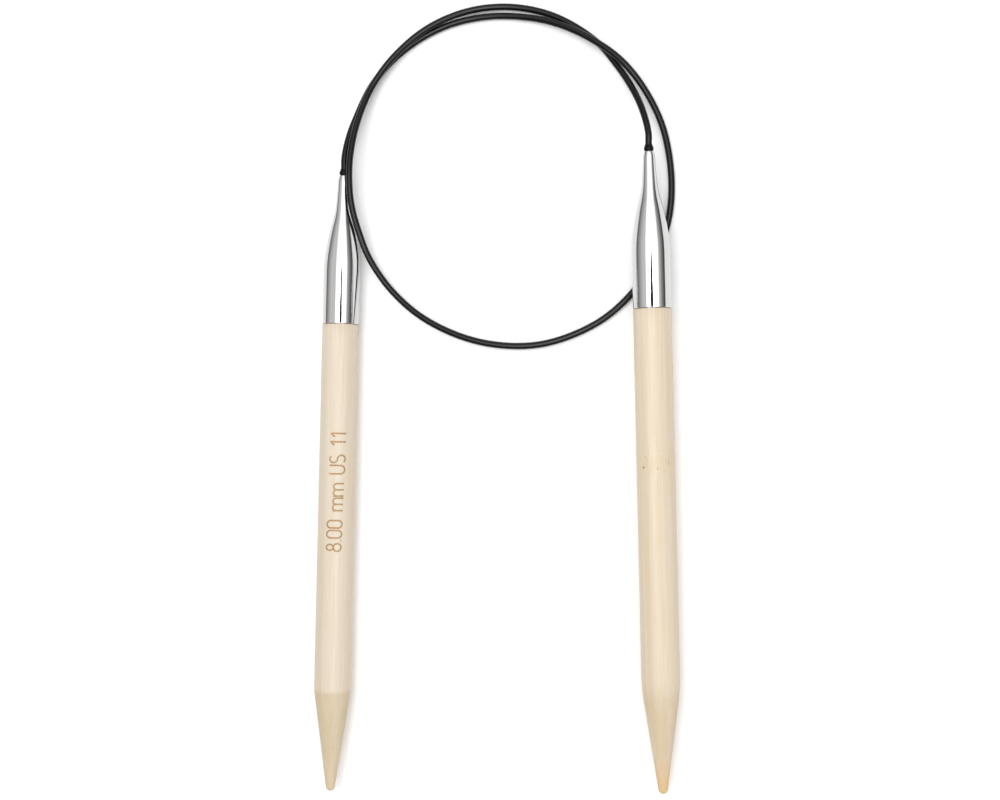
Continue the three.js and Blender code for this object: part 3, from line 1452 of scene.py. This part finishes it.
@dataclass
class Studio:
    """The camera, the pale floor and the soft light. Lengths are in millimetres."""

    camera_place: Triple = (54.0, 7.1, 266.4)
    camera_aim: Triple = (0.9, 16.4, 0.0)
    lens: float = 45.0
    sensor: float = 36.0
    clip_start: float = 1.0
    floor_drop: float = 0.02
    floor_size: float = 4000.0
    floor_fade: Pair = (170.0, 480.0)
    floor_glow: float = 0.55
    floor_tones: Pair = (0.93, 0.95)
    softbox_low: Pair = (-135.0, -350.0)
    softbox_high: Pair = (340.0, 420.0)
    softbox_height: float = 300.0
    softbox_power: float = 1.08
    softbox_glow: float = 9.0
    softbox_falloff: Triple = (60.0, 190.0, 0.2)
    key_place: Triple = (-75.0, 95.0, 400.0)
    key_target: Triple = (0.0, 20.0, 0.0)
    key_size: float = 270.0
    key_power: float = 0.48
    boom_root: Pair = (116.0, -10.0)
    boom_end: Pair = (24.0, 128.0)
    boom_drop: float = 8.0
    room_light: float = 0.65
    left_wall: Triple = (1.1, 0.15, 0.9)
    right_wall: Triple = (1.95, 0.09, 1.27)
    point_side: Triple = (-0.6, -0.15, 0.2)
    window: Triple = (0.25, 0.6, 0.5)
    window_sides: Pair = (0.15, 0.45)

    def make_camera(self) -> None:
        """Set the camera almost overhead, with +Y up in the picture."""
        data = bpy.data.cameras.new("studio_camera")
        data.lens = self.lens
        data.sensor_width = self.sensor
        data.clip_start = self.clip_start * MM
        place = Vector(self.camera_place) * MM
        back = (place - Vector(self.camera_aim) * MM).normalized()
        across = Vector((0.0, 1.0, 0.0)).cross(back).normalized()
        turn = Matrix((across, back.cross(across), back)).transposed().to_4x4()
        camera = bpy.data.objects.new("studio_camera", data)
        camera.matrix_world = Matrix.Translation(place) @ turn
        bpy.context.scene.collection.objects.link(camera)
        bpy.context.scene.camera = camera

    def plane(self, name: str, low: Pair, high: Pair, height: float, material: Material) -> Piece:
        """Lay a flat stage card between two corners.

        Args:
            name: The card's name.
            low: Its lowest corner.
            high: Its highest corner.
            height: Its height above the floor's level.
            material: Its material.

        Returns:
            The card.
        """
        bm = bmesh.new()
        bmesh.ops.create_grid(bm, x_segments=1, y_segments=1, size=0.5)
        size = ((high[0] - low[0]) * MM, (high[1] - low[1]) * MM, 1.0)
        bmesh.ops.scale(bm, vec=size, verts=bm.verts)
        centre = Vector(((low[0] + high[0]) / 2, (low[1] + high[1]) / 2, height)) * MM
        bmesh.ops.translate(bm, vec=centre, verts=bm.verts)
        card = link_mesh(name, bm, material)
        return card

    def make_floor(self) -> None:
        """Lay the plain white sheet under the needles, which fades into the white room."""
        material, shader, principled = Finish.start("white_floor")
        place = shader.add("ShaderNodeTexCoord").outputs["Object"]
        tooth = shader.noise(place, 900.0, 3.0)
        darkest, palest = ((tone, tone, tone) for tone in self.floor_tones)
        near, far = self.floor_fade
        fade = shader.span(shader.distance(place, (0.0, 0.0, 0.0)), near * MM, far * MM)
        seen = shader.add("ShaderNodeLightPath").outputs["Is Camera Ray"]
        shader.fill(
            principled,
            shader.blend(tooth, darkest, palest),
            Roughness=0.9,
            Specular_IOR_Level=0.15,
            Emission_Color=shader.blend(shader.times(fade, seen), (0.0, 0.0, 0.0), (1.0, 1.0, 1.0)),
            Emission_Strength=self.floor_glow,
        )
        half = self.floor_size / 2
        self.plane("floor", (-half, -half), (half, half), -self.floor_drop, material)

    @staticmethod
    def hang_lamp(name: str, shape: str, size: Pair, power: float, matrix: Matrix) -> None:
        """Hang an area lamp that neither the camera nor a mirror sees.

        Args:
            name: The lamp's name.
            shape: Its shape.
            size: Its width and depth.
            power: Its power in watts.
            matrix: Its place in metres, and the way that it faces.
        """
        light = bpy.data.lights.new(name, "AREA")
        light.shape = shape
        light.size, light.size_y = (side * MM for side in size)
        light.energy = power
        lamp = bpy.data.objects.new(name, light)
        lamp.matrix_world = matrix
        lamp.visible_camera = False
        lamp.visible_glossy = False
        bpy.context.scene.collection.objects.link(lamp)

    def make_lights(self) -> None:
        """Light the object with a wide softbox overhead, and a key lamp for the shadows' side.

        What mirrors see of the softbox is its glowing face, split by the camera's dark boom.
        """
        low, high = Vector(self.softbox_low), Vector(self.softbox_high)
        centre = Vector((*(low + high) / 2, self.softbox_height)) * MM
        self.hang_lamp("softbox", "RECTANGLE", tuple(high - low), self.softbox_power,
                       Matrix.Translation(centre))
        place = Vector(self.key_place) * MM
        facing = (place - Vector(self.key_target) * MM).to_track_quat("Z", "Y")
        self.hang_lamp("key", "DISK", (self.key_size, self.key_size), self.key_power,
                       Matrix.Translation(place) @ facing.to_matrix().to_4x4())
        black, shader, principled = Finish.start("black_boom")
        shader.fill(principled, (0.01, 0.01, 0.01, 1.0))
        boom = link_mesh("boom", self.boom_shape(), black)
        face = self.plane("softbox_face", self.softbox_low, self.softbox_high,
                          self.softbox_height, self.make_cloth())
        for card in (face, boom):
            card.visible_camera = False
            card.visible_shadow = False
            card.visible_diffuse = False

    def make_cloth(self) -> Material:
        """Make the softbox's cloth as things mirror it, brightest in front of its lamp.

        Returns:
            The glowing material.
        """
        material, shader, principled = Finish.start("softbox_cloth")
        place = shader.add("ShaderNodeTexCoord").outputs["Object"]
        lamp = (*(length * MM for length in self.camera_place[:2]), self.softbox_height * MM)
        near, far, faintest = self.softbox_falloff
        glow = shader.span(shader.distance(place, lamp), near * MM, far * MM, 1.0, faintest)
        shader.fill(
            principled,
            (0.0, 0.0, 0.0, 1.0),
            Specular_IOR_Level=0.0,
            Emission_Color=shader.blend(glow, (0.0, 0.0, 0.0), (1.0, 1.0, 1.0)),
            Emission_Strength=self.softbox_glow,
        )
        return material

    def boom_shape(self) -> BMesh:
        """Draw the dark boom over the camera, which narrows towards the cord's loop.

        Returns:
            A flat mesh just under the softbox, in metres.
        """
        bm = bmesh.new()
        bmesh.ops.create_grid(bm, x_segments=1, y_segments=1, size=0.5)
        height = self.softbox_height - self.boom_drop
        corners = [(vert, self.boom_root if vert.co.y < 0.0 else self.boom_end)
                   for vert in bm.verts]
        for vert, (width, place) in corners:
            x = self.camera_place[0] + math.copysign(width / 2, vert.co.x)
            vert.co = Vector((x, place, height)) * MM
        return bm

    def make_world(self) -> None:
        """Make a room that lights evenly, but mirrors as dark walls that brighten upwards.

        The left wall is the paler one low down. The right wall stays dark for longer, and then
        brightens evenly into the softbox. A window lies beyond the cord's loop, and the room is
        dark on the side of the needles' points. The camera sees plain white.
        """
        world = bpy.data.worlds.new("studio")
        world.use_nodes = True
        bpy.context.scene.world = world
        shader = Shader(world.node_tree)
        across, along, up = shader.split(shader.add("ShaderNodeTexCoord").outputs["Generated"])
        height = shader.maths("MAXIMUM", up, 0.0)
        left, right = (
            shader.maths("MINIMUM", shader.times_plus(rise, slope, floor), ceiling)
            for rise, (slope, floor, ceiling) in (
                (height, self.left_wall), (shader.times(height, height), self.right_wall))
        )
        walls = shader.times_plus(shader.maths("SUBTRACT", right, left),
                                  shader.span(across, -0.2, 0.2), left)
        walls = shader.times(walls, shader.span(along, *self.point_side, 1.0))
        first, last, brightest = self.window
        sides = shader.span(shader.maths("ABSOLUTE", across), *self.window_sides, 1.0, 0.0)
        window = shader.times(shader.span(along, first, last, 0.0, brightest), sides)
        path = shader.add("ShaderNodeLightPath").outputs
        tone = self.pick(shader, path["Is Diffuse Ray"], shader.maths("ADD", walls, window),
                         self.room_light)
        tone = self.pick(shader, path["Is Camera Ray"], tone, 1.0)
        grey = shader.fill(shader.add("ShaderNodeCombineColor"), tone, tone, tone)
        shader.fill(world.node_tree.nodes["Background"], grey.outputs[0])
        world.cycles.sampling_method = "NONE"
        bpy.context.scene.view_settings.view_transform = "Standard"

    @staticmethod
    def pick(shader: Shader, share: Socket, first: Socket, second: float) -> Socket:
        """Choose between two numbers.

        Args:
            shader: The shader layer.
            share: 0 for the first number, or 1 for the second.
            first: The first number.
            second: The second number.

        Returns:
            The chosen number.
        """
        node = shader.fill(shader.add("ShaderNodeMix"), share)
        shader.feed(node.inputs[2], first)
        shader.feed(node.inputs[3], second)
        return node.outputs[0]


# ------------------------------------------------------------------------------------------------
# The whole object
# ------------------------------------------------------------------------------------------------


@dataclass
class CircularNeedle:
    """Both needles and the cord, sized from the CAD model."""

    effects: SharedEffects
    shaft_radius: float = 4.0
    cone_length: float = 22.0
    node_depth: float = 65.0
    shoulders: dict[Side, Shoulder] = field(
        default_factory=lambda: {Side.LEFT: Shoulder.CRISP, Side.RIGHT: Shoulder.EASED}
    )
    specks: tuple[Blemish, ...] = (
        Blemish(65.8, -0.6, 0.24, 0.32, 0.9), Blemish(63.7, -0.5, 0.16, 0.24, 0.55),
        Blemish(66.0, 0.16, 0.09, 0.6, 0.5), Blemish(64.6, 0.76, 0.12, 1.1, 0.35),
        Blemish(64.2, -0.36, 0.08, 0.7, 0.35), Blemish(65.2, 0.86, 0.1, 0.8, 0.3),
        Blemish(65.0, -0.46, 0.07, 0.5, 0.35), Blemish(64.4, 0.62, 0.08, 0.9, 0.25),
    )

    @staticmethod
    def reach(node: str, axis: NeedleAxis) -> float:
        """How deep a CAD node reaches along a needle's axis, in millimetres."""
        verts = frame["nodes"][node].data.vertices
        return max((vert.co - axis.mouth).dot(axis.along) for vert in verts) / MM

    def bamboo(self, side: Side, length: float) -> BambooFinish:
        """Choose the bamboo of one needle, which differs a little from its neighbour's.

        Args:
            side: The needle.
            length: How deep its point is.

        Returns:
            The finish.
        """
        cone_start = length - self.cone_length
        if side is Side.LEFT:
            return BambooFinish(
                name="pale_bamboo", pale=(0.63, 0.56, 0.466), warm=(0.595, 0.512, 0.405),
                fibre_dark=(0.58, 0.43, 0.26), cone_start=cone_start, cone_fade=0.7,
                cone_tint=(0.66, 0.54, 0.16), point_warmth=0.12,
                length=length, shaft_radius=self.shaft_radius,
            )
        return BambooFinish(
            name="honey_bamboo", pale=(0.635, 0.552, 0.445), warm=(0.59, 0.495, 0.372),
            fibre_dark=(0.58, 0.43, 0.24), cone_start=cone_start, cone_fade=3.0,
            cone_tint=(0.78, 0.68, 0.46), point_warmth=0.75,
            length=length, shaft_radius=self.shaft_radius,
            node_depth=self.node_depth, blemishes=self.specks,
        )

    def build_side(self, side: Side) -> list[Piece]:
        """Build one needle and the pieces on its end of the cord.

        Args:
            side: The needle.

        Returns:
            The pieces that go with the cord.
        """
        axis = NeedleAxis.of(side)
        ferrule_length = self.reach(f"{side.value}_ferrule", axis)
        length = self.reach(f"{side.value}_bamboo_tip", axis)
        Ferrule(side, axis, ferrule_length, self.shaft_radius).build(NickelFinish(), self.effects)
        tip = BambooTip(side, axis, ferrule_length, length, self.shaft_radius,
                        self.cone_length, self.shoulders[side])
        tip.build(self.bamboo(side, length), self.effects)
        LOG.info("%s needle: %.1f mm long, ferrule %.1f mm", side.value, length, ferrule_length)
        moulded = NylonFinish("moulded_black_nylon", (0.0022, 0.0022, 0.0024), 0.26, 0.1)
        ends = CordEnd(side, axis).build(SteelFinish(), moulded, self.effects)
        LOG.info("%s cord end: %s", side.value, ", ".join(piece.name for piece in ends))
        return ends

    def build(self, cord: FreeCord) -> None:
        """Build both needles with their cord ends, then the cord, and then the size marking.

        Args:
            cord: The cord.
        """
        ends = [piece for side in Side for piece in self.build_side(side)]
        drawn = NylonFinish("drawn_black_nylon", (0.003, 0.003, 0.0033), 0.1, 0.2)
        cord.build(drawn, ends, self.effects)
        marking = SizeMarking(Side.LEFT, NeedleAxis.of(Side.LEFT), self.shaft_radius)
        marking.build(MarkingFinish(), self.effects)
        LOG.info("size marking on the %s needle", marking.side.value)


def main() -> None:
    """Build the studio and the object."""
    logging.basicConfig(level=logging.INFO, format="%(name)s: %(message)s")
    studio = Studio()
    studio.make_camera()
    studio.make_floor()
    studio.make_lights()
    studio.make_world()
    LOG.info("studio: camera, floor, lights and room")
    cord = FreeCord(NeedleAxis.of(Side.LEFT), NeedleAxis.of(Side.RIGHT))
    CircularNeedle(SharedEffects()).build(cord)


if __name__ == "__main__":
    main()
